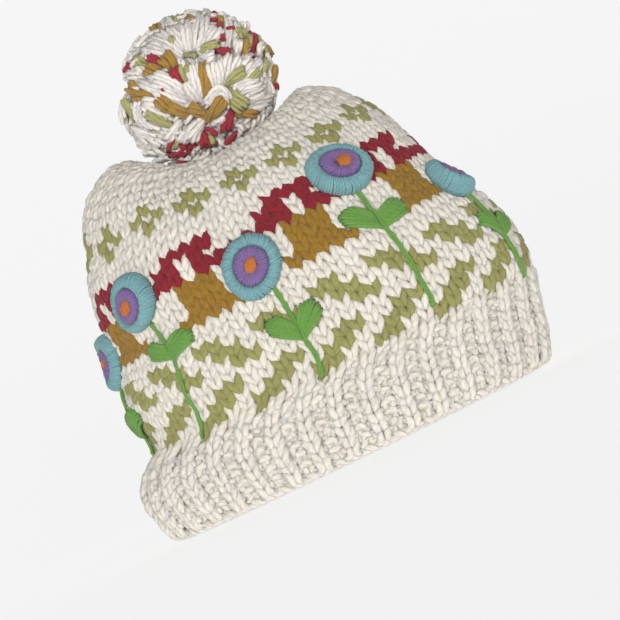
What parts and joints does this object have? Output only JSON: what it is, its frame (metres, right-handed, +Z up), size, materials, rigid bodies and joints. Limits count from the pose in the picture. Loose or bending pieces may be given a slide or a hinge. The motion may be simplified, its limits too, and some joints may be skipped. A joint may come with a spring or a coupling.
{
  "type": "pom-pom wool hat",
  "caption": "Hand-knitted wool hat with a ribbed brim, patterned gathered crown, yarn pompom and embroidered flowers on stems.",
  "frame": {"origin": "on the surface that the brim's edge rests on, under the middle of the hat's box", "axes": "+Z up from the brim to the pompom, front of the hat towards -Y, +X across it"},
  "size_m": [0.172, 0.234, 0.246],
  "materials": {
    "cream_wool": "bulky handspun cream wool, plain knit and 1x1 rib",
    "olive_wool": "olive wool worked into the knit",
    "mustard_wool": "mustard wool worked into the knit",
    "burgundy_wool": "burgundy wool worked into the knit",
    "aqua_yarn": "matt aqua embroidery yarn, buttonhole stitch",
    "purple_yarn": "matt purple embroidery yarn, buttonhole stitch",
    "orange_yarn": "matt orange embroidery yarn, knotted",
    "green_yarn": "leaf green embroidery yarn, satin stitch"
  },
  "bodies": {
    "root": {"brim": "cream_wool", "crown": "cream_wool", "pompom": "cream_wool", "pompom_tie": "cream_wool", "flower_1_outer_ring": "aqua_yarn", "flower_1_inner_ring": "purple_yarn", "flower_1_eye": "orange_yarn", "flower_1_stem_and_leaves": "green_yarn", "flower_2_outer_ring": "aqua_yarn", "flower_2_inner_ring": "purple_yarn", "flower_2_eye": "orange_yarn", "flower_2_stem_and_leaves": "green_yarn", "flower_3_outer_ring": "aqua_yarn", "flower_3_inner_ring": "purple_yarn", "flower_3_eye": "orange_yarn", "flower_3_stem_and_leaves": "green_yarn", "flower_4_outer_ring": "aqua_yarn", "flower_4_inner_ring": "purple_yarn", "flower_4_eye": "orange_yarn", "flower_4_stem_and_leaves": "green_yarn", "flower_5_outer_ring": "aqua_yarn", "flower_5_inner_ring": "purple_yarn", "flower_5_eye": "orange_yarn", "flower_5_stem_and_leaves": "green_yarn", "flower_6_outer_ring": "aqua_yarn", "flower_6_inner_ring": "purple_yarn", "flower_6_eye": "orange_yarn", "flower_6_stem_and_leaves": "green_yarn", "flower_7_outer_ring": "aqua_yarn", "flower_7_inner_ring": "purple_yarn", "flower_7_eye": "orange_yarn", "flower_7_stem_and_leaves": "green_yarn", "flower_8_outer_ring": "aqua_yarn", "flower_8_inner_ring": "purple_yarn", "flower_8_eye": "orange_yarn", "flower_8_stem_and_leaves": "green_yarn", "flower_9_outer_ring": "aqua_yarn", "flower_9_inner_ring": "purple_yarn", "flower_9_eye": "orange_yarn", "flower_9_stem_and_leaves": "green_yarn"}
  },
  "joints": []
}
